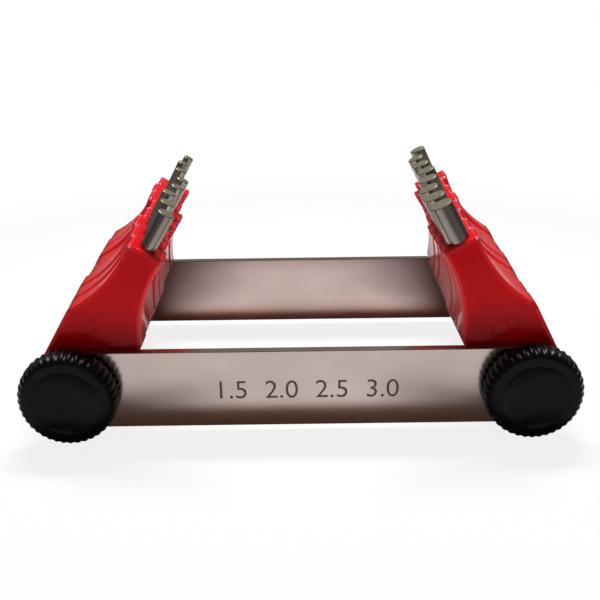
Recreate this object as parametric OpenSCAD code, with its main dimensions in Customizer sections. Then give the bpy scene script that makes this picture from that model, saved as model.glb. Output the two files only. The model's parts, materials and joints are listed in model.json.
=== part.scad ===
// Folding jet gauge: two stacks of stepped gauge pins in red holders, hung on
// through bolts between two flat rails and clamped by knurled thumb nuts.
// X runs along the rails, the thumb nuts face -Y, and Z points up from the lowest rim.

/* [Rails] */
// Distance between the two pivot bolts
pivot_spacing = 60; // [57:0.5:80]
// Height of each rail
rail_h = 10.8; // [9.4:0.2:12]
// Thickness of each rail
rail_t = 1.2; // [0.8:0.1:2]

/* [Holders] */
// Gauge blades in each stack
blades_per_side = 8; // [4:1:10]
// Thickness of one holder
holder_t = 4.15; // [3.9:0.05:6]
// Width of a holder at its eye
holder_w = 10.6; // [9.4:0.1:11.6]
// Length of a holder from the bolt to its top
holder_len = 21.4; // [20.4:0.2:24]
// Width of the neck where it is narrowest
neck_w = 4.7; // [4.2:0.1:6]
// Distance of the narrowest neck from the bolt
neck_at = 19.2; // [17.6:0.2:20]
// Radius of the hollow in each flank
flank_r = 17.2; // [14:0.2:22]
// Running gap beside each holder
blade_gap = 0.1; // [0.05:0.05:0.3]
// Lean of the left stack towards the middle
left_lean = 30.7; // [3:0.1:60]
// Lean of the right stack towards the middle
right_lean = 27.6; // [3:0.1:60]
// How unevenly the blades of a stack are swung, as a share of the fan below
unevenness = 1; // [0:0.1:2]

/* [Gauge pins] */
// Diameter of the smallest pin
smallest_pin_d = 1.5; // [1:0.1:1.8]
// Difference between one pin and the next
pin_rise = 0.1; // [0.05:0.05:0.1]
// Length of pin that stands out of the holder
pin_out = 5.3; // [4:0.1:7]
// Length of shank moulded into the holder
pin_in = 12; // [8:0.5:13]
// Step down in radius from pin to shank
shank_inset = 0.25; // [0.2:0.05:0.3]
// Chamfer on the tip of each pin
pin_chamfer = 0.1; // [0.05:0.05:0.2]

/* [Pivot bolts] */
// Diameter of the bolt
bolt_d = 5; // [4:0.5:5.5]
// Radial running clearance of a holder on its bolt
bolt_clearance = 0.05; // [0.02:0.01:0.1]
// Radial clearance of the front rail on its bolts
rail_clearance = 0.1; // [0.05:0.05:0.3]
// Width across the square neck under the head
neck_square = 5.4; // [5.2:0.1:6]
// Clearance on each side of the square neck
square_clearance = 0.05; // [0.02:0.01:0.2]
// Diameter of the round head
head_d = 9; // [8:0.5:9.5]
// Height of the head at its middle
head_h = 2.2; // [1.8:0.1:3]
// Height of the head at its rim
head_rim_h = 0.8; // [0.4:0.1:1.2]
// Chamfer on the threaded end
bolt_chamfer = 0.4; // [0.2:0.1:0.6]

/* [Thumb nuts] */
// Diameter of a thumb nut over its ribs
knob_d = 12.8; // [12.2:0.1:15]
// Depth of a thumb nut
knob_h = 3; // [2.6:0.1:5]
// Diameter of the front edge, where the ribs run out
knob_front_d = 11.4; // [10.4:0.1:12]
// Depth of the straight ribbed band at the back
knob_band_h = 1.4; // [0.8:0.1:2]
// Ribs around a thumb nut
rib_count = 40; // [24:2:60]
// Depth of the grooves between the ribs
rib_depth = 0.3; // [0.1:0.05:0.5]
// Diameter of the dished face
dish_d = 9.2; // [7:0.1:10]
// Depth of the dish
dish_depth = 0.5; // [0.2:0.1:0.7]
// Diameter of the threaded insert
insert_d = 7.6; // [7:0.1:8.4]
// Wall of the thumb nut between the insert and the dish
knob_wall = 0.6; // [0.5:0.1:1]
// Play between the end of the bolt and the bottom of the insert
thread_play = 0.2; // [0.1:0.1:0.4]
// Radial clearance of the thread
thread_clearance = 0.05; // [0.02:0.01:0.1]
// Diameter of the washer under a thumb nut
washer_d = 10; // [8:0.5:11]
// Thickness of the washer
washer_t = 0.4; // [0.3:0.1:1]
// Radial clearance of the washer on its bolt
washer_clearance = 0.15; // [0.05:0.05:0.3]

/* [Hidden] */
$fn = 96;
RIB_STEPS = 4;
CUT = 1;
// Small differences in lean along each stack, in degrees from front to back
LEFT_FAN = [0, -0.9, -1.8, -0.4, 0, -1.9, -2.3, -1.5];
RIGHT_FAN = [0, 0.4, 0.8, -0.4, -1.2, -0.8, -0.4, -2.3];

SIDES = [-1, 1];
BLADES = [1 : blades_per_side];
function side_name(side) = side < 0 ? "left" : "right";
function node_name(side, piece, i = 0) = i > 0
    ? str(side_name(side), "_", piece, "_", i)
    : str(side_name(side), "_", piece);

// The stations along Y, from the face of the thumb nuts to the heads of the bolts
blade_pitch = holder_t + blade_gap;
stack_t = blades_per_side * blade_pitch + blade_gap;
depth = knob_h + washer_t + 2 * rail_t + stack_t + head_h;
y_knob = -depth / 2;
y_washer = y_knob + knob_h;
y_front_rail = y_washer + washer_t;
y_stack = y_front_rail + rail_t;
y_rear_rail = y_stack + stack_t;
y_head = y_rear_rail + rail_t;

pivot_z = knob_d / 2;
insert_h = knob_h - dish_depth - knob_wall;
y_bolt_end = y_washer - insert_h + thread_play;
function pivot_x(side) = side * pivot_spacing / 2;
function fan(list, i) = unevenness * list[(i - 1) % len(list)];
function lean(side, i) = side < 0 ? left_lean + fan(LEFT_FAN, i) : right_lean + fan(RIGHT_FAN, i);
function blade_y(i) = y_stack + blade_gap + (i - 1) * blade_pitch;

// The pins step down from the front of the right stack to the back of the left one
function pin_d(side, i) =
    smallest_pin_d + pin_rise * (blades_per_side - i + (side > 0 ? blades_per_side : 0));

// An outline in X and Z, standing at y and thick towards +Y
module plate(x, y, thick) {
    translate([x, y + thick, pivot_z])
        rotate([90, 0, 0])
            linear_extrude(thick)
                children();
}

// A round bar along +Y on a pivot
module bar(side, y, d, len) {
    translate([pivot_x(side), y, pivot_z])
        rotate([-90, 0, 0])
            cylinder(d = d, h = len);
}

// Moves a shape drawn along +Z from the bolt to its blade
module on_blade(side, i) {
    translate([pivot_x(side), blade_y(i) + holder_t / 2, pivot_z])
        rotate([0, -side * lean(side, i), 0])
            children();
}

// A strip with a round end about each bolt
module rail_outline() {
    square([pivot_spacing, rail_h], center = true);
    for (side = SIDES)
        translate([pivot_x(side), 0])
            circle(d = rail_h);
}

module rail_blank(y) {
    plate(0, y, rail_t)
        rail_outline();
}

module front_rail() {
    color("rosybrown")
        difference() {
            rail_blank(y_front_rail);
            for (side = SIDES)
                bar(side, y_front_rail - CUT, bolt_d + 2 * rail_clearance, rail_t + 2 * CUT);
        }
}

module rear_rail() {
    color("rosybrown")
        difference() {
            rail_blank(y_rear_rail);
            for (side = SIDES)
                plate(pivot_x(side), y_rear_rail - CUT, rail_t + 2 * CUT)
                    square(neck_square + 2 * square_clearance, center = true);
        }
}

// A low domed head: a ball that meets the rim, cut to the head's diameter
module bolt_head(side) {
    dome_h = head_h - head_rim_h;
    dome_r = (pow(head_d / 2, 2) + pow(dome_h, 2)) / (2 * dome_h);
    intersection() {
        bar(side, y_head, head_d, head_h + CUT);
        translate([pivot_x(side), y_head + head_h - dome_r, pivot_z])
            sphere(r = dome_r);
    }
}

module bolt(side) {
    color("silver")
        union() {
            bolt_head(side);
            plate(pivot_x(side), y_rear_rail, rail_t)
                square(neck_square, center = true);
            bar(side, y_bolt_end + bolt_chamfer, bolt_d, y_rear_rail - y_bolt_end - bolt_chamfer);
            translate([pivot_x(side), y_bolt_end, pivot_z])
                rotate([-90, 0, 0])
                    cylinder(d1 = bolt_d - 2 * bolt_chamfer, d2 = bolt_d, h = bolt_chamfer);
        }
}

// The ribs' outline: a ring of waves between the full and the groove radius
module rib_outline() {
    points = rib_count * RIB_STEPS;
    polygon([
        for (k = [0 : points - 1])
            let (a = 360 * k / points, wave = (1 - cos(rib_count * a)) / 2)
            (knob_d / 2 - rib_depth * wave) * [cos(a), sin(a)]
    ]);
}

// The ribs, turned down to a cone that leaves the straight band at its foot
module knob_body() {
    spare = rib_depth / 2;
    slope = (knob_h - knob_band_h) / (knob_d - knob_front_d) * 2;
    profile = [
        [0, -CUT],
        [knob_d / 2 + spare, -CUT],
        [knob_d / 2 + spare, knob_band_h - slope * spare],
        [knob_front_d / 2, knob_h],
        [0, knob_h]
    ];
    intersection() {
        rotate_extrude()
            polygon(profile);
        linear_extrude(knob_h + CUT)
            rib_outline();
    }
}

module knob(side) {
    dish_r = (pow(dish_d / 2, 2) + pow(dish_depth, 2)) / (2 * dish_depth);
    color("#1a1a1c")
        difference() {
            translate([pivot_x(side), y_washer, pivot_z])
                rotate([90, 0, 0])
                    knob_body();
            translate([pivot_x(side), y_knob + dish_depth - dish_r, pivot_z])
                sphere(r = dish_r);
            bar(side, y_washer - insert_h, insert_d, insert_h + CUT);
        }
}

module insert(side) {
    color("goldenrod")
        difference() {
            bar(side, y_washer - insert_h, insert_d, insert_h);
            bar(side, y_washer - insert_h - CUT, bolt_d + 2 * thread_clearance, insert_h + 2 * CUT);
        }
}

module washer(side) {
    color("silver")
        difference() {
            bar(side, y_washer, washer_d, washer_t);
            bar(side, y_washer - CUT, bolt_d + 2 * washer_clearance, washer_t + 2 * CUT);
        }
}

// The stretch of a pin that is moulded into its holder, reaching a little past the holder's top
module shank(side, i) {
    on_blade(side, i)
        translate([0, 0, holder_len - pin_in])
            cylinder(d = pin_d(side, i) - 2 * shank_inset, h = pin_in + CUT);
}

// A round eye and a straight body, drawn in to a neck by a hollow in each flank
module holder_outline() {
    difference() {
        union() {
            circle(d = holder_w);
            translate([-holder_w / 2, 0])
                square([holder_w, holder_len]);
        }
        for (flank = SIDES)
            translate([flank * (neck_w / 2 + flank_r), neck_at])
                circle(r = flank_r);
    }
}

module holder(side, i) {
    color("crimson")
        difference() {
            on_blade(side, i)
                translate([0, holder_t / 2, 0])
                    rotate([90, 0, 0])
                        linear_extrude(holder_t)
                            holder_outline();
            bar(side, blade_y(i) - CUT, bolt_d + 2 * bolt_clearance, holder_t + 2 * CUT);
            shank(side, i);
        }
}

module pin(side, i) {
    d = pin_d(side, i);
    color("darkgray")
        union() {
            shank(side, i);
            on_blade(side, i)
                translate([0, 0, holder_len]) {
                    cylinder(d = d, h = pin_out - pin_chamfer);
                    translate([0, 0, pin_out - pin_chamfer])
                        cylinder(d1 = d, d2 = d - 2 * pin_chamfer, h = pin_chamfer);
                }
        }
}

front_rail();
rear_rail();
for (side = SIDES) {
    bolt(side);
    knob(side);
    insert(side);
    washer(side);
    for (i = BLADES) {
        holder(side, i);
        pin(side, i);
    }
}
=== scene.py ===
"""Carburetor jet gauge: steel rails, two fans of red blades with gauge pins, and black thumb nuts.

Pieces are modelled on the bench in millimetres, at the origin, and then go to their places in metres.
"""
import json
import logging
import math
from contextlib import contextmanager
from dataclasses import dataclass
from enum import Enum
from typing import Callable, Iterator, Sequence

import bmesh
import bpy
from mathutils import Matrix, Vector

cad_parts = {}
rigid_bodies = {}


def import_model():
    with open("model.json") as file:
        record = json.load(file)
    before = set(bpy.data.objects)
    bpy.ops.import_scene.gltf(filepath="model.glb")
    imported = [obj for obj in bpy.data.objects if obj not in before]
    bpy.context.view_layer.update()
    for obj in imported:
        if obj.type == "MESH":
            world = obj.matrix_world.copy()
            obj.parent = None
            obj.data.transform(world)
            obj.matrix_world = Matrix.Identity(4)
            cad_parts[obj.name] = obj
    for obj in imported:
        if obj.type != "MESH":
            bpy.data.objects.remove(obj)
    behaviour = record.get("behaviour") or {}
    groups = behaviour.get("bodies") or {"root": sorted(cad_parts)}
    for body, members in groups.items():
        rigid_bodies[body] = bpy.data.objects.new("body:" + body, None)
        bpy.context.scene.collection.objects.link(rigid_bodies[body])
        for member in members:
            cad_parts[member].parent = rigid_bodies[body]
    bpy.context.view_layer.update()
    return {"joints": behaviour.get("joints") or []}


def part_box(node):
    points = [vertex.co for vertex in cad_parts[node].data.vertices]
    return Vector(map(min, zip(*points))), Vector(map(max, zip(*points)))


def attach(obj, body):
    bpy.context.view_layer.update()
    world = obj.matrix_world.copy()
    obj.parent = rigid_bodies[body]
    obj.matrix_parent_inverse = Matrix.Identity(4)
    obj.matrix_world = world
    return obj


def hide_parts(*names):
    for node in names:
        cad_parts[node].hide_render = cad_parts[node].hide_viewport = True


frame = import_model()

LOG = logging.getLogger("jet_gauge")

Piece = bpy.types.Object
Material = bpy.types.Material
Socket = bpy.types.NodeSocket
Place = tuple[float, float, float]
Span = tuple[float, float]
Colour = tuple[float, float, float]
Inputs = dict[str | int, object]

MM = 0.001
ORIGIN: Place = (0.0, 0.0, 0.0)
UPWARDS: Place = (0.0, 0.0, 1.0)
WHITE: Colour = (1.0, 1.0, 1.0)
OPAQUE = 1.0
QUARTER_TURN = math.pi / 2.0

# Work on the bench: counts, millimetres, degrees, and the place of the edges' finish among a piece's own.
ROUND_SIDES = 96
DRILL_LENGTH = 40.0
SEAM = 0.001
ROUNDED_FROM = 30.0
SHARP_FROM = 32.0
EDGE_FINISH = 1

# Most of a noise lies between its low and its high end.
NOISE_LOW = 0.3
NOISE_MIDDLE = 0.5
NOISE_HIGH = 0.7


class Side(Enum):
    """The two ends of the gauge, each with its sign along X."""

    LEFT = -1
    RIGHT = 1

    def part(self, name: str) -> str:
        """The full name of something on this side."""
        return f"{self.name.lower()}_{name}"


class Facing(Enum):
    """The way that a piece modelled along +Z points in the gauge, as turns about X, Y and Z."""

    FRONT = (QUARTER_TURN, 0.0, 0.0)
    BACK = (-QUARTER_TURN, 0.0, 0.0)
    UP = ORIGIN


class Merge(Enum):
    """What a tool does to the piece that it is set against."""

    CUT = "DIFFERENCE"
    JOIN = "UNION"
    KEEP_SHARED = "INTERSECT"


class Element(Enum):
    """What is picked in edit mode, with the mesh's word for all of them."""

    EDGE = "edges"
    FACE = "faces"


@dataclass(frozen=True)
class Ring:
    """One ring of a turned piece: its radius, its height and how deep the grooves are pressed into it."""

    radius: float
    height: float
    groove: float = 0.0


def joint(name: str) -> dict:
    """The frame's entry for a joint."""
    return next(entry for entry in frame["joints"] if entry["name"] == name)


def extent(node: str) -> tuple[Vector, Vector]:
    """The lowest and the highest corner of a solid, in millimetres."""
    low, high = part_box(node)
    return Vector(low) / MM, Vector(high) / MM


def middle(node: str) -> Place:
    """The middle of a solid, in metres."""
    low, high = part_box(node)
    return tuple((Vector(low) + Vector(high)) / 2.0)


def clear_bench() -> None:
    """Deselects everything, so that the next primitive is worked on alone."""
    for other in bpy.context.view_layer.objects:
        other.select_set(False)


def select_only(piece: Piece) -> None:
    """Selects one piece, and nothing else, and makes it the active one.

    Args:
        piece: The piece to work on.
    """
    clear_bench()
    piece.select_set(True)
    bpy.context.view_layer.objects.active = piece


def named(name: str) -> Piece:
    """Names the object that was just added, and returns it."""
    bpy.context.object.name = name
    return bpy.context.object


def take_away(piece: Piece) -> None:
    """Takes a used-up piece off the bench, with its mesh.

    Args:
        piece: The piece.
    """
    spent = piece.data
    bpy.data.objects.remove(piece)
    bpy.data.meshes.remove(spent)


@contextmanager
def editing(piece: Piece) -> Iterator[None]:
    """Holds one piece in edit mode, where points are selected until something else is picked.

    Args:
        piece: The piece to edit.
    """
    select_only(piece)
    bpy.ops.object.mode_set(mode="EDIT")
    bpy.ops.mesh.select_mode(type="VERT")
    try:
        yield
    finally:
        bpy.ops.object.mode_set(mode="OBJECT")


def pick(piece: Piece, element: Element, wanted: Callable[..., bool]) -> None:
    """Selects the edges or faces that pass a test, in edit mode.

    Args:
        piece: The piece in edit mode.
        element: Whether edges or faces are picked.
        wanted: Says whether one of them is picked.
    """
    bpy.ops.mesh.select_mode(type=element.name)
    bpy.ops.mesh.select_all(action="DESELECT")
    shape = bmesh.from_edit_mesh(piece.data)
    for part in getattr(shape, element.value):
        if wanted(part):
            part.select_set(True)
    bmesh.update_edit_mesh(piece.data)


def face_outwards() -> None:
    """Turns all faces of the piece in edit mode outwards."""
    bpy.ops.mesh.select_all(action="SELECT")
    bpy.ops.mesh.normals_make_consistent(inside=False)


def slice_off(height: float, above: bool) -> None:
    """Cuts the piece in edit mode across, closes the cut and drops what is above or below it."""
    bpy.ops.mesh.select_all(action="SELECT")
    bpy.ops.mesh.bisect(
        plane_co=(0.0, 0.0, height),
        plane_no=UPWARDS,
        use_fill=True,
        clear_outer=above,
        clear_inner=not above,
    )


def bake_place(piece: Piece) -> None:
    """Moves a piece's place, turn and scale into its mesh."""
    select_only(piece)
    bpy.ops.object.transform_apply(location=True, rotation=True, scale=True)


def block(name: str, size: Place, centre: Place = ORIGIN) -> Piece:
    """Adds a block to work on.

    Args:
        name: The name of the piece.
        size: Its width, depth and height.
        centre: Where its middle is.

    Returns:
        The block, with its size and place in its mesh.
    """
    clear_bench()
    bpy.ops.mesh.primitive_cube_add(size=1.0, location=centre)
    piece = named(name)
    piece.scale = size
    bake_place(piece)
    return piece


def rod(
    name: str, radius: float, depth: float, facing: Facing, centre: Place = ORIGIN, sides: int = ROUND_SIDES
) -> Piece:
    """Adds a round rod to work on or to cut with.

    Args:
        name: The name of the piece.
        radius: Its radius.
        depth: Its length.
        facing: The way that its axis points.
        centre: Where its middle is.
        sides: How many sides it has.

    Returns:
        The rod, with its place in its mesh.
    """
    clear_bench()
    bpy.ops.mesh.primitive_cylinder_add(
        vertices=sides, radius=radius, depth=depth, location=centre, rotation=facing.value
    )
    piece = named(name)
    bake_place(piece)
    return piece


def apply_modifier(piece: Piece, kind: str, **settings: object) -> None:
    """Adds a modifier to a piece and applies it.

    Args:
        piece: The piece.
        kind: The modifier's type.
        settings: Its settings by name.
    """
    select_only(piece)
    bpy.ops.object.modifier_add(type=kind)
    step = piece.modifiers[-1]
    for setting, value in settings.items():
        setattr(step, setting, value)
    bpy.ops.object.modifier_apply(modifier=step.name)


def combine(piece: Piece, tool: Piece, merge: Merge) -> None:
    """Sets a tool against a piece, and takes the tool away."""
    apply_modifier(piece, "BOOLEAN", operation=merge.value, solver="EXACT", object=tool)
    take_away(tool)


def drill(piece: Piece, diameter: float, facing: Facing, across: float = 0.0) -> None:
    """Drills a hole right through a piece, at a place along X."""
    combine(piece, rod("drill", diameter / 2.0, DRILL_LENGTH, facing, (across, 0.0, 0.0)), Merge.CUT)


def soften(piece: Piece, width: float, segments: int) -> None:
    """Rounds the sharp edges of a piece and gives the rounding the second of its finishes."""
    apply_modifier(
        piece,
        "BEVEL",
        width=width,
        segments=segments,
        limit_method="ANGLE",
        angle_limit=math.radians(ROUNDED_FROM),
        use_clamp_overlap=False,
        material=EDGE_FINISH,
    )


def reshape(piece: Piece, before: Ring, ring: Ring, grooves: int) -> None:
    """Scales the selected ring, still in the shape of the one before it, to its own radius and grooves.

    Args:
        piece: The piece in edit mode, with one ring selected.
        before: The ring that it was extruded from.
        ring: The ring that it becomes.
        grooves: How many grooves go round.
    """
    alike_digits = 3
    shape = bmesh.from_edit_mesh(piece.data)
    selected = [vertex for vertex in shape.verts if vertex.select]
    waves: dict[float, list[bmesh.types.BMVert]] = {}
    for vertex in selected:
        wave = (1.0 - math.cos(grooves * math.atan2(vertex.co.y, vertex.co.x))) / 2.0
        waves.setdefault(round(wave, alike_digits), []).append(vertex)
    for wave, vertices in waves.items():
        bpy.ops.mesh.select_all(action="DESELECT")
        for vertex in vertices:
            vertex.select_set(True)
        growth = (ring.radius - wave * ring.groove) / (before.radius - wave * before.groove)
        bpy.ops.transform.resize(value=(growth, growth, 1.0), center_override=ORIGIN)
    for vertex in selected:
        vertex.select_set(True)
    shape.select_flush(True)
    bmesh.update_edit_mesh(piece.data)


def turned(name: str, rings: Sequence[Ring], sides: int = ROUND_SIDES, grooves: int = 0) -> Piece:
    """Turns a closed solid about Z, ring by ring.

    Args:
        name: The name of the piece.
        rings: Its rings, from the first end to the last.
        sides: How many sides it has.
        grooves: How many grooves go round the rings that have them.

    Returns:
        The solid.
    """
    clear_bench()
    first = rings[0]
    bpy.ops.mesh.primitive_circle_add(vertices=sides, radius=first.radius, fill_type="NGON")
    piece = named(name)
    with editing(piece):
        bpy.ops.mesh.select_all(action="SELECT")
        bpy.ops.transform.translate(value=(0.0, 0.0, first.height))
        for before, ring in zip(rings, rings[1:]):
            rise = (0.0, 0.0, ring.height - before.height)
            bpy.ops.mesh.extrude_region_move(TRANSFORM_OT_translate={"value": rise})
            reshape(piece, before, ring, grooves)
        face_outwards()
    return piece


def arc_rings(radius: float, low: float, high: float, rim: float, steps: int) -> list[Ring]:
    """Rings along a shallow bowl or dome, from its rim to near its middle.

    Args:
        radius: The radius of the rim.
        low: The height of the rim.
        high: The height of the middle.
        rim: The radius of the last small ring.
        steps: How many rings there are.

    Returns:
        The rings after the rim itself.
    """
    rise = high - low
    ball = (radius * radius + rise * rise) / (2.0 * abs(rise))
    sign = math.copysign(1.0, rise)
    rings = []
    for step in range(1, steps + 1):
        reach = radius + (rim - radius) * step / steps
        drop = ball - math.sqrt(ball * ball - reach * reach)
        rings.append(Ring(reach, high - sign * drop))
    return rings


@dataclass(frozen=True)
class Lettering:
    """Plain numbers to sink into a face that looks to the front.

    The strokes are drawn in from each side by thin, and a spacing of 1 is the usual one.
    """

    height: float
    depth: float
    thin: float = 0.0
    spacing: float = 1.0
    digit_share: float = 0.7
    curve_steps: int = 6
    seam_share: float = 0.0001

    def build(self, words: str, centre: Place) -> Piece:
        """Makes the numbers as a solid, half of it before the face and half behind it.

        Args:
            words: The numbers.
            centre: Their middle, on the face.

        Returns:
            The numbers as a mesh.
        """
        clear_bench()
        bpy.ops.object.text_add()
        text = named("numbers").data
        text.body = words
        text.size = self.height / self.digit_share
        text.align_x = "CENTER"
        text.align_y = "CENTER"
        text.space_character = self.spacing
        text.offset = -self.thin
        text.extrude = self.depth
        text.resolution_u = self.curve_steps
        bpy.ops.object.convert(target="MESH")
        piece = bpy.context.object
        with editing(piece):
            bpy.ops.mesh.select_all(action="SELECT")
            bpy.ops.mesh.remove_doubles(threshold=self.height * self.seam_share)
            face_outwards()
        piece.rotation_euler = Facing.FRONT.value
        piece.location = centre
        bake_place(piece)
        return piece


def dress(piece: Piece, *finishes: Material) -> None:
    """Gives a piece its finishes, the one of its faces first."""
    for finish in finishes:
        piece.data.materials.append(finish)


def hand_in(
    piece: Piece, node: str, body: str, place: Place, turn: Place, sharp_from: float = SHARP_FROM
) -> None:
    """Shades a finished piece smooth, carries it to its place in the gauge and hangs it on its body.

    Args:
        piece: The piece, in millimetres at the origin.
        node: The solid that it stands for.
        body: The body that it moves with.
        place: Where its origin goes, in metres.
        turn: Its turns about X, Y and Z in radians.
        sharp_from: Edges that turn by more than this, in degrees, stay sharp.
    """
    select_only(piece)
    bpy.ops.object.shade_smooth_by_angle(angle=math.radians(sharp_from))
    apply_modifier(piece, "WEIGHTED_NORMAL", keep_sharp=True)
    piece.location = place
    piece.rotation_euler = turn
    piece.scale = (MM, MM, MM)
    bake_place(piece)
    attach(piece, body)
    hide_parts(node)
    LOG.info("%s: %d faces, on %s", piece.name, len(piece.data.polygons), body)


@dataclass(frozen=True)
class Pattern:
    """Cloudy noise: its repeats in a metre along X, Y and Z, its finer layers and how strong they are."""

    repeats: Place
    layers: float
    strength: float = 0.55


def even(repeats: float) -> Place:
    """The same repeats along X, Y and Z."""
    return (repeats, repeats, repeats)


class Graph:
    """The nodes of a material or of the surroundings."""

    def __init__(self, owner: Material | bpy.types.World) -> None:
        """Opens the nodes.

        Args:
            owner: What they belong to.
        """
        owner.use_nodes = True
        self.owner = owner
        self.tree = owner.node_tree

    @property
    def shader(self) -> bpy.types.Node:
        """The shader that a material starts with."""
        return self.tree.nodes["Principled BSDF"]

    def feed(self, node: bpy.types.Node, inputs: Inputs) -> None:
        """Links or sets some inputs of a node.

        Args:
            node: The node.
            inputs: Sockets to link and values to set, by the inputs' names or numbers.
        """
        for key, source in inputs.items():
            if isinstance(source, Socket):
                self.tree.links.new(source, node.inputs[key])
            else:
                node.inputs[key].default_value = source

    def node(self, kind: str, inputs: Inputs, **settings: object) -> bpy.types.Node:
        """Adds a node.

        Args:
            kind: The node's type.
            inputs: What feeds it.
            settings: Its own settings by name.

        Returns:
            The node.
        """
        added = self.tree.nodes.new(kind)
        for setting, value in settings.items():
            setattr(added, setting, value)
        self.feed(added, inputs)
        return added

    def where(self) -> Socket:
        """The place on the piece, in metres."""
        return self.node("ShaderNodeTexCoord", {}).outputs["Object"]

    def calculate(self, operation: str, *values: Socket | float) -> Socket:
        """The result of a sum on values or sockets."""
        return self.node("ShaderNodeMath", dict(enumerate(values)), operation=operation).outputs["Value"]

    def noise(self, pattern: Pattern, turn: Place) -> Socket:
        """Cloudy noise, as it runs along a turned piece.

        Args:
            pattern: Its repeats and layers.
            turn: The piece's turns about X, Y and Z in radians.

        Returns:
            The noise, from 0 to 1.
        """
        scale = [1.0 / share for share in pattern.repeats]
        along = {"Vector": self.where(), "Rotation": turn, "Scale": scale}
        mapping = self.node("ShaderNodeMapping", along, vector_type="TEXTURE")
        layers = {"Scale": 1.0, "Detail": pattern.layers, "Roughness": pattern.strength}
        cloud = self.node("ShaderNodeTexNoise", {"Vector": mapping.outputs["Vector"], **layers})
        return cloud.outputs["Fac"]

    def remap(self, value: Socket, start: Span, end: Span, **settings: object) -> Socket:
        """Carries a value from one range to another."""
        ranges = {"From Min": start[0], "From Max": start[1], "To Min": end[0], "To Max": end[1]}
        return self.node("ShaderNodeMapRange", {"Value": value, **ranges}, **settings).outputs["Result"]

    def spread(self, value: Socket, low: float, high: float) -> Socket:
        """Spreads the middle of a noise over a range."""
        return self.remap(value, (NOISE_LOW, NOISE_HIGH), (low, high))

    def ease(self, value: Socket, low: float, high: float) -> Socket:
        """Makes a range of a value, eased at both ends, lie as the middle of a noise does."""
        return self.remap(value, (low, high), (NOISE_LOW, NOISE_HIGH), interpolation_type="SMOOTHSTEP")

    def rise(self, low: float, high: float) -> Socket:
        """How far up a place lies between two heights, eased."""
        parts = self.node("ShaderNodeSeparateXYZ", {"Vector": self.where()})
        return self.ease(parts.outputs["Z"], low, high)

    def tint(self, value: Socket, dark: Colour, light: Colour) -> Socket:
        """Colours a noise between two colours.

        Args:
            value: The noise.
            dark: The colour at its low end.
            light: The colour at its high end.

        Returns:
            The colour.
        """
        ramp = self.node("ShaderNodeValToRGB", {"Fac": value})
        stops = ((NOISE_LOW, dark), (NOISE_HIGH, light))
        for stop, (position, colour) in zip(ramp.color_ramp.elements, stops):
            stop.position = position
            stop.color = (*colour, OPAQUE)
        return ramp.outputs["Color"]

    def emboss(self, height: Socket, strength: float, distance: float) -> Socket:
        """The surface's direction with the fine relief of a pattern, whose depth is in metres."""
        relief = {"Height": height, "Strength": strength, "Distance": distance}
        return self.node("ShaderNodeBump", relief).outputs["Normal"]

    def blend(self, share: Socket, first: Socket, second: Socket) -> Socket:
        """A mix of two shaders, with the share of the second."""
        return self.node("ShaderNodeMixShader", {"Fac": share, 1: first, 2: second}).outputs["Shader"]


@dataclass(frozen=True)
class Finish:
    """A surface whose colour follows a broad pattern and its relief a fine one, with its polish on either.

    The relief is its strength and its depth in metres, and the turn is that of the piece.
    """

    name: str
    dark: Colour
    light: Colour
    broad: Pattern
    fine: Pattern
    rough: Span
    relief: Span
    metallic: float = 1.0
    broad_polish: bool = False
    turn: Place = ORIGIN

    def colour(self, graph: Graph, broad: Socket) -> Socket:
        """The colour, from the broad pattern."""
        return graph.tint(broad, self.dark, self.light)

    def plain(self) -> Inputs:
        """The values that are the same all over the surface, by the shader's inputs."""
        return {"Metallic": self.metallic}

    def build(self) -> Material:
        """Makes the material."""
        graph = Graph(bpy.data.materials.new(self.name))
        broad = graph.noise(self.broad, self.turn)
        fine = graph.noise(self.fine, self.turn)
        varied = {
            "Base Color": self.colour(graph, broad),
            "Roughness": graph.spread(broad if self.broad_polish else fine, *self.rough),
            "Normal": graph.emboss(fine, *self.relief),
        }
        graph.feed(graph.shader, {**varied, **self.plain()})
        return graph.owner


@dataclass(frozen=True)
class SheetSteel(Finish):
    """Satin rolled steel with a warm cast, its grain along the strip, and painted shade that makes it
    darker and browner towards its lower edge.
    """

    name: str = "satin_sheet_steel"
    dark: Colour = (0.47, 0.393, 0.368)
    light: Colour = (0.54, 0.453, 0.43)
    broad: Pattern = Pattern((90.0, 160.0, 160.0), 5.0)
    fine: Pattern = Pattern((150.0, 16000.0, 16000.0), 3.0, 0.6)
    rough: Span = (0.16, 0.22)
    relief: Span = (0.04, 0.00001)
    # Painted shade: at the strip's lower edge the colour is multiplied by this brown, easing to none at the
    # upper height.
    painted_shade_tint: Colour = (0.78, 0.53, 0.40)
    painted_shade_low: float = 0.001
    painted_shade_top: float = 0.0052

    def colour(self, graph: Graph, broad: Socket) -> Socket:
        """The clouded colour, darkened low on the strip by painted shade."""
        steel = graph.tint(broad, self.dark, self.light)
        # Painted shade, darkest at the lower edge of the strip.
        painted_shade = graph.tint(graph.rise(self.painted_shade_low, self.painted_shade_top), self.painted_shade_tint, WHITE)
        shaded_steel = graph.node("ShaderNodeVectorMath", {0: steel, 1: painted_shade}, operation="MULTIPLY")
        return shaded_steel.outputs["Vector"]


@dataclass(frozen=True)
class ShearedEdge(SheetSteel):
    """The dull, dark edge that shearing leaves on the steel."""

    name: str = "sheared_steel_edge"
    dark: Colour = (0.06, 0.05, 0.04)
    light: Colour = (0.11, 0.09, 0.075)
    rough: Span = (0.6, 0.75)


@dataclass(frozen=True)
class EngravedMark(Finish):
    """The dull floor of a stroke cut into the steel."""

    name: str = "engraved_mark"
    dark: Colour = (0.10, 0.078, 0.066)
    light: Colour = (0.22, 0.175, 0.15)
    broad: Pattern = Pattern(even(6000.0), 4.0)
    fine: Pattern = Pattern(even(6000.0), 4.0)
    rough: Span = (0.5, 0.7)
    relief: Span = (0.3, 0.00003)
    metallic: float = 0.4


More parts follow.
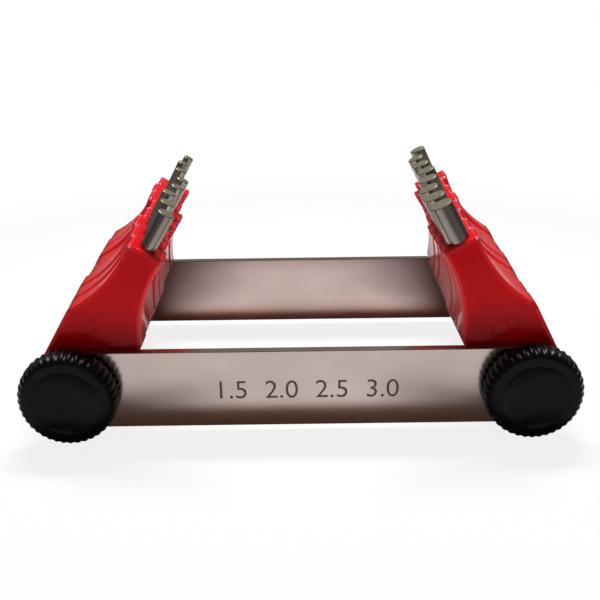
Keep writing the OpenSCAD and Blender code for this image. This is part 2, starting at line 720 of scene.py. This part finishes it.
@dataclass(frozen=True)
class RedPlastic(Finish):
    """Glossy moulded plastic, a little see-through, darker low on the holder and brighter up to the neck by
    painted shade and light.
    """

    name: str = "glossy_red_plastic"
    dark: Colour = (0.24, 0.0018, 0.0045)
    light: Colour = (0.74, 0.0045, 0.0105)
    broad: Pattern = Pattern((140.0, 140.0, 90.0), 3.0)
    fine: Pattern = Pattern(even(700.0), 2.0)
    rough: Span = (0.14, 0.24)
    relief: Span = (0.10, 0.00006)
    # Painted shade at the lower height, easing into painted light at the upper one.
    painted_shade_height: float = 0.010
    painted_light_height: float = 0.019
    flow_share: float = 0.25
    ior: float = 1.5
    gloss: float = 0.10
    see_through: float = 0.6
    light_depth: float = 0.0022
    light_colour: Colour = (1.0, 0.06, 0.05)

    def colour(self, graph: Graph, broad: Socket) -> Socket:
        """The colour, brighter with height by painted shade and light, and with some of the moulding's flow
        in it.
        """
        flow = graph.calculate("SUBTRACT", broad, NOISE_MIDDLE)
        # Painted shade and light: darker low on the holder, brighter towards the neck.
        rise = graph.rise(self.painted_shade_height, self.painted_light_height)
        mixed = graph.calculate("MULTIPLY_ADD", flow, self.flow_share, rise)
        return graph.tint(mixed, self.dark, self.light)

    def plain(self) -> Inputs:
        """The gloss, and how far light goes into the plastic."""
        return {
            "IOR": self.ior,
            "Specular IOR Level": self.gloss,
            "Subsurface Weight": self.see_through,
            "Subsurface Scale": self.light_depth,
            "Subsurface Radius": self.light_colour,
        }


@dataclass(frozen=True)
class RedEdgePaintedHighlight(RedPlastic):
    """The red plastic where it is rounded, with more gloss and a brighter colour that is a painted
    highlight.
    """

    name: str = "red_plastic_edge"
    # Painted highlight: brighter reds than those of the faces, for the rounded edges.
    dark: Colour = (0.36, 0.004, 0.008)
    light: Colour = (0.86, 0.022, 0.03)
    gloss: float = 0.22


@dataclass(frozen=True)
class GroundSteel(Finish):
    """Ground gauge steel, drawn lengthwise, with dark and light streaks along it that are grinding marks
    and painted reflection bands.
    """

    name: str = "ground_pin_steel"
    dark: Colour = (0.15, 0.13, 0.115)
    light: Colour = (0.42, 0.39, 0.355)
    # Grinding marks and painted reflection bands: long streaks along the pin, from dark to light.
    broad: Pattern = Pattern((1300.0, 1300.0, 25.0), 2.0, 0.5)
    fine: Pattern = Pattern((9000.0, 9000.0, 500.0), 2.0)
    rough: Span = (0.18, 0.24)
    relief: Span = (0.03, 0.00001)


@dataclass(frozen=True)
class PinEndPaintedReflection(Finish):
    """The faced end of a gauge pin with a fine grain, made paler and a little yellow by a painted
    reflection.
    """

    name: str = "faced_pin_end"
    # Painted reflection: paler, yellower steel on the pin's end.
    dark: Colour = (0.30, 0.275, 0.19)
    light: Colour = (0.42, 0.39, 0.27)
    broad: Pattern = Pattern(even(1500.0), 3.0)
    fine: Pattern = Pattern(even(9000.0), 2.0)
    rough: Span = (0.30, 0.42)
    relief: Span = (0.05, 0.00001)


@dataclass(frozen=True)
class BlackPlastic(Finish):
    """Black satin plastic with the fine skin of its mould."""

    name: str = "black_satin_plastic"
    dark: Colour = (0.0020, 0.0020, 0.0023)
    light: Colour = (0.0036, 0.0036, 0.0041)
    broad: Pattern = Pattern(even(320.0), 4.0)
    fine: Pattern = Pattern(even(5200.0), 2.0)
    rough: Span = (0.15, 0.20)
    relief: Span = (0.04, 0.00002)
    broad_polish: bool = True
    ior: float = 1.5
    gloss: float = 0.095

    def plain(self) -> Inputs:
        """The gloss."""
        return {"IOR": self.ior, "Specular IOR Level": self.gloss}


@dataclass(frozen=True)
class GripPlastic(BlackPlastic):
    """The black plastic of the ribs, duller from the mould."""

    name: str = "black_grip_plastic"
    rough: Span = (0.28, 0.36)


@dataclass(frozen=True)
class PlatedSteel(Finish):
    """Bright plated steel with a faint grain, for bolts and washers."""

    name: str = "plated_steel"
    dark: Colour = (0.42, 0.41, 0.39)
    light: Colour = (0.54, 0.53, 0.50)
    broad: Pattern = Pattern(even(500.0), 5.0)
    fine: Pattern = Pattern(even(4200.0), 3.0)
    rough: Span = (0.20, 0.34)
    relief: Span = (0.10, 0.00001)


@dataclass(frozen=True)
class TurnedBrass(Finish):
    """Turned brass with faint tool marks."""

    name: str = "turned_brass"
    dark: Colour = (0.52, 0.34, 0.11)
    light: Colour = (0.66, 0.45, 0.17)
    broad: Pattern = Pattern(even(600.0), 4.0)
    fine: Pattern = Pattern((300.0, 6500.0, 300.0), 3.0)
    rough: Span = (0.22, 0.38)
    relief: Span = (0.15, 0.00001)


@dataclass
class Rails:
    """The two flat strips, with a round end and a hole at each bolt."""

    end_flat: float = 0.02
    end_steps: int = 24
    edge: float = 0.1
    edge_steps: int = 2
    front_hole: float = 5.2
    rear_square: float = 5.5
    scale_words: str = "1.5  2.0  2.5  3.0"
    scale_centre: float = 0.8
    scale_drop: float = 0.25
    scale: Lettering = Lettering(height=2.6, depth=0.12, thin=0.015)

    def blank(self, name: str) -> Piece:
        """Makes a strip with its round ends, centred on the origin.

        Args:
            name: The name of the rail.

        Returns:
            The strip.
        """
        low, high = extent(name)
        length, thick, height = high - low
        rail = block(f"{name}_strip", (length, thick, height))
        offset = (height - self.end_flat) / 2.0
        with editing(rail):
            pick(rail, Element.EDGE, lambda edge: edge.calc_length() < height / 2.0)
            bpy.ops.mesh.bevel(offset=offset, segments=self.end_steps, affect="EDGES")
        return rail

    def engrave(self, rail: Piece) -> None:
        """Cuts a scale of plain numbers into the front face, with the rail's last finish on its floor.

        Args:
            rail: The front rail.
        """
        low, high = extent("front_rail")
        face = (low.y - high.y) / 2.0
        words = self.scale.build(self.scale_words, (self.scale_centre, face, -self.scale_drop))
        dress(words, *rail.data.materials)
        for polygon in words.data.polygons:
            polygon.material_index = len(rail.data.materials) - 1
        combine(rail, words, Merge.CUT)

    def build(self, faces: Material, edges: Material, mark: Material, pivots: Sequence[float]) -> None:
        """Builds both rails.

        Args:
            faces: The finish of their faces.
            edges: The finish of their edges.
            mark: The finish of the numbers.
            pivots: The places of the bolts along X, in metres.
        """
        front = self.blank("front_rail")
        for pivot in pivots:
            drill(front, self.front_hole, Facing.FRONT, pivot / MM)
        dress(front, faces, edges, mark)
        soften(front, self.edge, self.edge_steps)
        self.engrave(front)

        rear = self.blank("rear_rail")
        square = (self.rear_square, DRILL_LENGTH, self.rear_square)
        for pivot in pivots:
            combine(rear, block("punch", square, (pivot / MM, 0.0, 0.0)), Merge.CUT)
        dress(rear, faces, edges)
        soften(rear, self.edge, self.edge_steps)

        for node, rail in (("front_rail", front), ("rear_rail", rear)):
            hand_in(rail, node, "frame", middle(node), Facing.UP.value)


@dataclass
class PivotBolt:
    """A bolt with a low domed head, a square neck and a threaded front end."""

    side: Side
    pivot: Vector
    shank: float = 5.0
    shoulder: float = 0.3
    neck: float = 5.4
    rail: float = 1.2
    head: float = 9.0
    head_height: float = 2.2
    head_rim: float = 0.8
    head_edge: float = 0.15
    dome_rim: float = 0.2
    dome_steps: int = 14
    threaded: float = 3.4
    pitch: float = 0.8
    thread_depth: float = 0.42
    thread_inset: float = 0.02
    flank_share: float = 0.40
    crest_share: float = 0.12
    root_share: float = 0.08
    turn_steps: int = 48
    spare_turns: int = 2
    chamfer: float = 0.4
    tip_start: float = 0.01
    tip_margin: float = 0.1
    tip_spare: float = 1.0

    def thread(self) -> Piece:
        """Winds the thread of the front end, from the chamfered tip at the origin up along Z."""
        radius = self.shank / 2.0
        root = radius - self.thread_inset - self.thread_depth
        profile = (
            (self.thread_depth, self.flank_share),
            (0.0, self.crest_share),
            (-self.thread_depth, self.flank_share),
            (0.0, self.root_share),
        )
        clear_bench()
        bpy.ops.mesh.primitive_plane_add(size=1.0)
        piece = named("thread")
        with editing(piece):
            bpy.ops.mesh.select_all(action="SELECT")
            bpy.ops.mesh.merge(type="CENTER")
            bpy.ops.transform.translate(value=(root, 0.0, -self.spare_turns * self.pitch))
            for out, up in profile:
                step = (out, 0.0, up * self.pitch)
                bpy.ops.mesh.extrude_vertices_move(TRANSFORM_OT_translate={"value": step})
        apply_modifier(
            piece,
            "SCREW",
            axis="Z",
            steps=self.turn_steps,
            render_steps=self.turn_steps,
            screw_offset=self.pitch,
            iterations=math.ceil(self.threaded / self.pitch) + 2 * self.spare_turns,
            use_merge_vertices=True,
            merge_threshold=SEAM,
        )
        with editing(piece):
            bpy.ops.mesh.select_all(action="SELECT")
            bpy.ops.mesh.remove_doubles(threshold=SEAM)
            slice_off(0.0, above=False)
            slice_off(self.threaded, above=True)
            face_outwards()
        outside = radius + self.tip_margin
        tip = [
            Ring(radius - self.chamfer, -self.tip_start),
            Ring(outside, self.chamfer + self.tip_margin),
            Ring(outside, self.threaded + self.tip_spare),
        ]
        combine(piece, turned("tip", tip), Merge.KEEP_SHARED)
        return piece

    def build(self, steel: Material) -> None:
        """Builds the bolt.

        Args:
            steel: Its finish.
        """
        node = self.side.part("bolt")
        low, high = extent(node)
        length = high.y - low.y
        head_at = length - self.head_height
        dome_at = head_at + self.head_rim
        shank = self.shank / 2.0
        head = self.head / 2.0
        rings = [
            Ring(shank - self.shoulder, self.threaded - self.shoulder),
            Ring(shank, self.threaded),
            Ring(shank, head_at),
            Ring(head - self.head_edge, head_at),
            Ring(head, head_at + self.head_edge),
            Ring(head, dome_at),
            *arc_rings(head, dome_at, length, self.dome_rim, self.dome_steps),
        ]
        bolt = turned(f"{node}_turned", rings)
        # The neck reaches into the head, so that the two share no face.
        neck_height = self.rail + self.head_rim / 2.0
        neck_middle = head_at - self.rail + neck_height / 2.0
        neck = block("neck", (self.neck, self.neck, neck_height), (0.0, 0.0, neck_middle))
        combine(bolt, neck, Merge.JOIN)
        combine(bolt, self.thread(), Merge.JOIN)
        dress(bolt, steel)
        tip = (self.pivot.x, low.y * MM, self.pivot.z)
        hand_in(bolt, node, "frame", tip, Facing.BACK.value)


@dataclass
class ThumbNut:
    """A knurled black nut with a dished face, its brass insert and the washer behind it."""

    side: Side
    pivot: Vector
    ribs: int = 40
    steps_per_rib: int = 8
    groove: float = 0.26
    back_edge: float = 0.3
    back_groove: float = 0.5
    back_steps: int = 2
    shoulder: float = 1.0
    shoulder_height: float = 1.65
    shoulder_steps: int = 9
    groove_end: float = 80.0
    dish: float = 4.3
    dish_depth: float = 0.8
    dish_rim: float = 0.15
    dish_steps: int = 16
    lip: float = 0.08
    lip_drops: Span = (0.2, 0.8)
    grip: float = 0.75
    grip_sharp: float = 50.0
    insert: float = 7.6
    insert_groove: float = 0.3
    groove_mouth: float = 0.30
    groove_floor: float = 0.16
    bore: float = 5.1
    washer: float = 10.0
    washer_hole: float = 5.3
    chamfer: float = 0.1

    def solid(self, name: str) -> tuple[Vector, Vector]:
        """The lowest and the highest corner of one of this side's solids, in millimetres."""
        return extent(self.side.part(name))

    def depth(self, name: str) -> float:
        """How deep one of this side's solids is, from its front to its back."""
        low, high = self.solid(name)
        return high.y - low.y

    def lay(self, piece: Piece, name: str, body: str, sharp_from: float = SHARP_FROM) -> None:
        """Hands in a piece that stands on this side's bolt, with its back where that of its solid is."""
        back = (self.pivot.x, self.solid(name)[1].y * MM, self.pivot.z)
        node, carrier = self.side.part(name), self.side.part(body)
        hand_in(piece, node, carrier, back, Facing.FRONT.value, sharp_from)

    def rings(self, radius: float) -> list[Ring]:
        """The nut's rings, from the bottom of the insert's pocket round the ribs to the middle of the dish.

        Args:
            radius: The radius over the ribs.

        Returns:
            The rings.
        """
        height = self.depth("knob")
        pocket = self.insert / 2.0
        back = []
        for step in range(self.back_steps + 1):
            turn = QUARTER_TURN * (1.0 - step / self.back_steps)
            depth = self.groove * (1.0 - (1.0 - self.back_groove) * (turn / QUARTER_TURN) ** 2)
            inset = self.back_edge * (1.0 - math.cos(turn))
            back.append(Ring(radius - inset, self.back_edge * (1.0 - math.sin(turn)), depth))
        front = []
        for step in range(self.shoulder_steps + 1):
            turn = QUARTER_TURN * step / self.shoulder_steps
            depth = self.groove * max(0.0, 1.0 - (turn / math.radians(self.groove_end)) ** 2)
            drop = self.shoulder_height * (1.0 - math.sin(turn))
            front.append(Ring(radius - self.shoulder * (1.0 - math.cos(turn)), height - drop, depth))
        lip_middle, lip_end = (height - drop * self.lip for drop in self.lip_drops)
        return [
            Ring(pocket, self.depth("insert")),
            Ring(pocket, 0.0),
            *back,
            *front,
            Ring(self.dish + 2.0 * self.lip, height),
            Ring(self.dish + self.lip, lip_middle),
            Ring(self.dish, lip_end),
            *arc_rings(self.dish, lip_end, height - self.dish_depth, self.dish_rim, self.dish_steps),
        ]

    def build_nut(self, faces: Material, grip: Material) -> None:
        """Builds the nut itself.

        Args:
            faces: The finish of its faces.
            grip: The finish of its ribs.
        """
        low, high = self.solid("knob")
        radius = (high.x - low.x) / 2.0
        sides = self.ribs * self.steps_per_rib
        nut = turned(self.side.part("knob_body"), self.rings(radius), sides, self.ribs)
        dress(nut, faces, grip)
        for polygon in nut.data.polygons:
            polygon.material_index = int(polygon.center.xy.length > radius - self.grip)
        self.lay(nut, "knob", "knob", self.grip_sharp)

    def chamfered(self, radius: float, depth: float, *between: Ring) -> list[Ring]:
        """The rings of a collar with chamfered ends and some rings between them."""
        return [
            Ring(radius - self.chamfer, 0.0),
            Ring(radius, self.chamfer),
            *between,
            Ring(radius, depth - self.chamfer),
            Ring(radius - self.chamfer, depth),
        ]

    def build_insert(self, brass: Material) -> None:
        """Builds the threaded insert, with the groove that holds it in the plastic.

        Args:
            brass: Its finish.
        """
        depth = self.depth("insert")
        half = depth / 2.0
        mouth = self.groove_mouth * half
        floor = self.groove_floor * half
        outer = self.insert / 2.0
        inner = outer - self.insert_groove
        groove = (
            Ring(outer, half - mouth),
            Ring(inner, half - floor),
            Ring(inner, half + floor),
            Ring(outer, half + mouth),
        )
        bush = turned(self.side.part("insert_bush"), self.chamfered(outer, depth, *groove))
        drill(bush, self.bore, Facing.UP)
        dress(bush, brass)
        self.lay(bush, "insert", "knob")

    def build_washer(self, steel: Material) -> None:
        """Builds the washer.

        Args:
            steel: Its finish.
        """
        rings = self.chamfered(self.washer / 2.0, self.depth("washer"))
        washer = turned(self.side.part("washer_ring"), rings)
        drill(washer, self.washer_hole, Facing.UP)
        dress(washer, steel)
        self.lay(washer, "washer", "washer")


@dataclass
class BladeStack:
    """The blades of one side, numbered from the front: red holders, each with a gauge pin in its top."""

    side: Side
    blades: int = 8
    width: float = 10.6
    thick: float = 4.22
    length: float = 21.4
    neck: float = 4.7
    neck_at: float = 19.2
    flank: float = 17.2
    flank_sides: int = 256
    edge: float = 0.5
    edge_steps: int = 5
    bolt_hole: float = 5.1
    pin_out: float = 5.3
    pin_in: float = 12.0
    pin_chamfer: float = 0.1
    pin_sides: int = 64
    pin_end_slope: float = 0.5
    shank_inset: float = 0.25
    shank_chamfer: float = 0.15
    hole_spare: float = 1.0
    hole_sides: int = 48
    largest_pin: float = 3.0
    pin_rise: float = 0.1
    digits: Lettering = Lettering(height=2.6, depth=0.12, spacing=1.05)
    digits_at: float = 8.6
    level_slope: float = 0.9

    def fold(self, number: int) -> dict:
        """The joint that a blade folds on."""
        return joint(self.side.part(f"blade_{number}_fold"))

    def lean(self, number: int) -> float:
        """A blade's turn about Y from upright, in radians, from how far its joint still lets it fold."""
        return -self.side.value * (QUARTER_TURN - math.radians(max(self.fold(number)["range_deg"])))

    def place(self, number: int) -> Place:
        """The middle of a blade's eye, in metres."""
        x, _, z = self.fold(number)["pos_m"]
        return (x, middle(self.side.part(f"holder_{number}"))[1], z)

    def pin_size(self, number: int) -> float:
        """The diameter of a blade's pin, in millimetres."""
        steps = number - 1 + (self.blades if self.side is Side.LEFT else 0)
        return self.largest_pin - self.pin_rise * steps

    def blank(self, reds: Sequence[Material]) -> Piece:
        """Models the holder that all blades start from, with its eye at the origin and its top up along Z.

        Args:
            reds: The finish of its faces and that of its edges.

        Returns:
            The blank.
        """
        holder = rod("holder_blank", self.width / 2.0, self.thick, Facing.FRONT)
        with editing(holder):
            slice_off(0.0, above=True)
            pick(holder, Element.FACE, lambda face: face.normal.z > self.level_slope)
            bpy.ops.mesh.extrude_region_move(TRANSFORM_OT_translate={"value": (0.0, 0.0, self.length)})
            face_outwards()
        for side in Side:
            place = (side.value * (self.neck / 2.0 + self.flank), 0.0, self.neck_at)
            cutter = rod("flank_cutter", self.flank, DRILL_LENGTH, Facing.FRONT, place, self.flank_sides)
            combine(holder, cutter, Merge.CUT)
        dress(holder, *reds)
        # The rounding gets the second red, a painted highlight.
        soften(holder, self.edge, self.edge_steps)
        drill(holder, self.bolt_hole, Facing.FRONT)
        return holder

    def holder(self, number: int, blank: Piece) -> Piece:
        """Makes one holder from the blank: its pin's hole and its sunk size.

        Args:
            number: The blade's number.
            blank: The blank, which stays.

        Returns:
            The holder, still on the bench.
        """
        select_only(blank)
        bpy.ops.object.duplicate(linked=False)
        holder = named(self.side.part(f"holder_{number}_body"))
        size = self.pin_size(number)
        depth = self.pin_in + self.hole_spare
        centre = (0.0, 0.0, self.length - self.pin_in + depth / 2.0)
        hole = rod("drill", size / 2.0 - self.shank_inset, depth, Facing.UP, centre, self.hole_sides)
        combine(holder, hole, Merge.CUT)
        face = (0.0, -self.thick / 2.0, self.digits_at)
        combine(holder, self.digits.build(f"{size:.1f}", face), Merge.CUT)
        return holder

    def pin(self, number: int, steels: Sequence[Material]) -> Piece:
        """Turns one gauge pin with its shank.

        Args:
            number: The blade's number.
            steels: The finish of the pin and that of its end.

        Returns:
            The pin, still on the bench.
        """
        radius = self.pin_size(number) / 2.0
        shank = radius - self.shank_inset
        foot = self.length - self.pin_in
        top = self.length + self.pin_out
        rings = [
            Ring(shank - self.shank_chamfer, foot),
            Ring(shank, foot + self.shank_chamfer),
            Ring(shank, self.length),
            Ring(radius, self.length),
            Ring(radius, top - self.pin_chamfer),
            Ring(radius - self.pin_chamfer, top),
        ]
        pin = turned(self.side.part(f"pin_{number}_body"), rings, self.pin_sides)
        dress(pin, *steels)
        for polygon in pin.data.polygons:
            # Faces that look along the pin get its end finish, with the painted reflection.
            polygon.material_index = int(polygon.normal.z > self.pin_end_slope)
        return pin

    def build(self, reds: Sequence[Material], steels: Sequence[Material]) -> None:
        """Builds all blades of this side.

        Args:
            reds: The finish of the holders and that of their edges.
            steels: The finish of the pins and that of their ends.
        """
        blank = self.blank(reds)
        for number in range(1, self.blades + 1):
            body = self.side.part(f"blade_{number}")
            turn = (0.0, self.lean(number), 0.0)
            pieces = {"holder": self.holder(number, blank), "pin": self.pin(number, steels)}
            for word, piece in pieces.items():
                node = self.side.part(f"{word}_{number}")
                hand_in(piece, node, body, self.place(number), turn)
        take_away(blank)


@dataclass(frozen=True)
class SoftBox:
    """A soft box that is aimed at the gauge, with its place and size in metres and its power in watts."""

    name: str
    place: Place
    size: Span
    power: float
    tint: Colour = WHITE
    in_gloss: bool = True
    aim: Place = (0.0, 0.0, 0.01)

    def build(self) -> None:
        """Stands the soft box in the studio."""
        data = bpy.data.lights.new(self.name, "AREA")
        data.shape = "RECTANGLE"
        data.size, data.size_y = self.size
        data.energy = self.power
        data.color = self.tint
        lamp = bpy.data.objects.new(self.name, data)
        bpy.context.scene.collection.objects.link(lamp)
        lamp.location = self.place
        lamp.rotation_euler = (Vector(self.aim) - Vector(self.place)).to_track_quat("-Z", "Y").to_euler()
        lamp.visible_glossy = self.in_gloss


@dataclass
class Studio:
    """The camera at the photograph's viewing angle, a pale floor and soft light."""

    elevation: float = 22.0
    lens: float = 51.64
    sensor: float = 36.0
    nearest: float = 0.005
    distance: float = 107.81
    aim_rise: float = 12.44
    aim_side: float = 0.06
    roll: float = 0.75
    floor_size: float = 1.0
    floor_rough: float = 0.9
    floor_shine: float = 0.1
    floor_camera: float = 0.85
    floor_glossy: float = 0.02
    floor_near: float = 0.06
    floor_far: float = 0.13
    pale: Colour = (0.90, 0.90, 0.90)
    # Painted pool of light: the floor's colour is pale within the near reach and falls to this dark beyond
    # the far one.
    painted_pool_dark: Colour = (0.15, 0.15, 0.15)
    world_glossy: float = 0.15
    ambient: float = 0.05
    ambient_tint: Colour = (1.0, 0.66, 0.48)
    lamps: tuple[SoftBox, ...] = (
        SoftBox("key", place=(0.0, 0.36, 0.65), size=(0.40, 0.10), power=7.0),
        SoftBox("left_card", place=(-0.46, -0.20, 0.07), size=(0.5, 0.2), power=0.26, in_gloss=False),
        SoftBox("right_card", place=(0.46, -0.20, 0.07), size=(0.5, 0.2), power=0.44, in_gloss=False),
        SoftBox("fill", place=(0.0, -0.62, 0.17), size=(0.5, 0.2), power=0.27, tint=(1.0, 0.80, 0.66)),
    )

    def camera(self, pivot_height: float) -> None:
        """Sets up the camera, aimed at a point in the plane of the front rail's face.

        Args:
            pivot_height: The height of the bolts, in metres.
        """
        data = bpy.data.cameras.new("camera")
        data.lens = self.lens
        data.sensor_width = self.sensor
        data.sensor_fit = "HORIZONTAL"
        data.clip_start = self.nearest
        camera = bpy.data.objects.new("camera", data)
        bpy.context.scene.collection.objects.link(camera)
        aim = Vector((self.aim_side * MM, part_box("front_rail")[0][1], pivot_height + self.aim_rise * MM))
        tilt = Matrix.Rotation(QUARTER_TURN - math.radians(self.elevation), 4, "X")
        roll = Matrix.Rotation(math.radians(-self.roll), 4, "Z")
        back = Matrix.Translation((0.0, 0.0, self.distance * MM))
        camera.matrix_world = Matrix.Translation(aim) @ tilt @ roll @ back
        bpy.context.scene.camera = camera

    def white_rays(self, graph: Graph, glossy: float) -> Socket:
        """How white the surroundings are to each kind of ray: all white to the camera and through glass.

        Args:
            graph: The nodes of the floor or the world.
            glossy: The share of white that shiny pieces see.

        Returns:
            The share of white.
        """
        rays = graph.node("ShaderNodeLightPath", {}).outputs
        direct = graph.calculate("MAXIMUM", rays["Is Camera Ray"], rays["Is Transmission Ray"])
        shine = graph.calculate("MULTIPLY", rays["Is Glossy Ray"], glossy)
        return graph.calculate("MAXIMUM", direct, shine)

    def floor(self) -> None:
        """Lays the floor, pale near the gauge and dark further off in a painted pool of light; to the
        camera it shows the shadow near the gauge and is plain white further off.
        """
        clear_bench()
        bpy.ops.mesh.primitive_plane_add(size=self.floor_size)
        floor = named("floor")
        graph = Graph(bpy.data.materials.new("pale_floor"))
        reach = graph.node("ShaderNodeVectorMath", {0: graph.where()}, operation="LENGTH")
        distance = graph.ease(reach.outputs["Value"], self.floor_near, self.floor_far)
        # Painted pool of light: pale near the gauge, dark further off.
        pale = graph.tint(distance, self.pale, self.painted_pool_dark)
        plain = {"Roughness": self.floor_rough, "Specular IOR Level": self.floor_shine}
        graph.feed(graph.shader, {"Base Color": pale, **plain})
        glow = graph.node("ShaderNodeEmission", {})
        fade = graph.spread(distance, self.floor_camera, 1.0)
        share = graph.calculate("MULTIPLY", self.white_rays(graph, self.floor_glossy), fade)
        surface = graph.blend(share, graph.shader.outputs["BSDF"], glow.outputs["Emission"])
        graph.feed(graph.tree.nodes["Material Output"], {"Surface": surface})
        dress(floor, graph.owner)

    def world(self) -> None:
        """Fills the surroundings with soft light and shows them white."""
        world = bpy.data.worlds.new("studio")
        bpy.context.scene.world = world
        graph = Graph(world)
        graph.tree.nodes.clear()
        tint = (*self.ambient_tint, OPAQUE)
        soft = graph.node("ShaderNodeBackground", {"Color": tint, "Strength": self.ambient})
        white = graph.node("ShaderNodeBackground", {"Color": (*WHITE, OPAQUE)})
        share = self.white_rays(graph, self.world_glossy)
        seen = graph.blend(share, soft.outputs["Background"], white.outputs["Background"])
        graph.node("ShaderNodeOutputWorld", {"Surface": seen})

    def build(self, pivot_height: float) -> None:
        """Sets up the whole studio.

        Args:
            pivot_height: The height of the bolts, in metres.
        """
        bpy.context.scene.view_settings.view_transform = "Standard"
        self.camera(pivot_height)
        self.floor()
        self.world()
        for lamp in self.lamps:
            lamp.build()


def main() -> None:
    """Builds the gauge piece by piece."""
    logging.basicConfig(level=logging.INFO, format="%(message)s")
    pivots = {side: Vector(joint(side.part("blade_1_fold"))["pos_m"]) for side in Side}
    Studio().build(pivots[Side.LEFT].z)

    plated = PlatedSteel().build()
    brass = TurnedBrass().build()
    black = BlackPlastic().build()
    grip = GripPlastic().build()
    # The second red is a painted highlight for the holders' rounded edges.
    reds = (RedPlastic().build(), RedEdgePaintedHighlight().build())
    # The pins' ends get a painted reflection.
    pin_end_painted_reflection = PinEndPaintedReflection().build()

    bolts = [pivot.x for pivot in pivots.values()]
    Rails().build(SheetSteel().build(), ShearedEdge().build(), EngravedMark().build(), bolts)
    for side, pivot in pivots.items():
        PivotBolt(side, pivot).build(plated)
        nut = ThumbNut(side, pivot)
        nut.build_nut(black, grip)
        nut.build_insert(brass)
        nut.build_washer(plated)
        blades = BladeStack(side)
        # The pins' streaks, grinding marks and painted reflection bands, are turned to lie along the pins.
        pin_steel = GroundSteel(side.part("pin_steel"), turn=(0.0, blades.lean(1), 0.0))
        blades.build(reds, (pin_steel.build(), pin_end_painted_reflection))


if __name__ == "__main__":
    main()
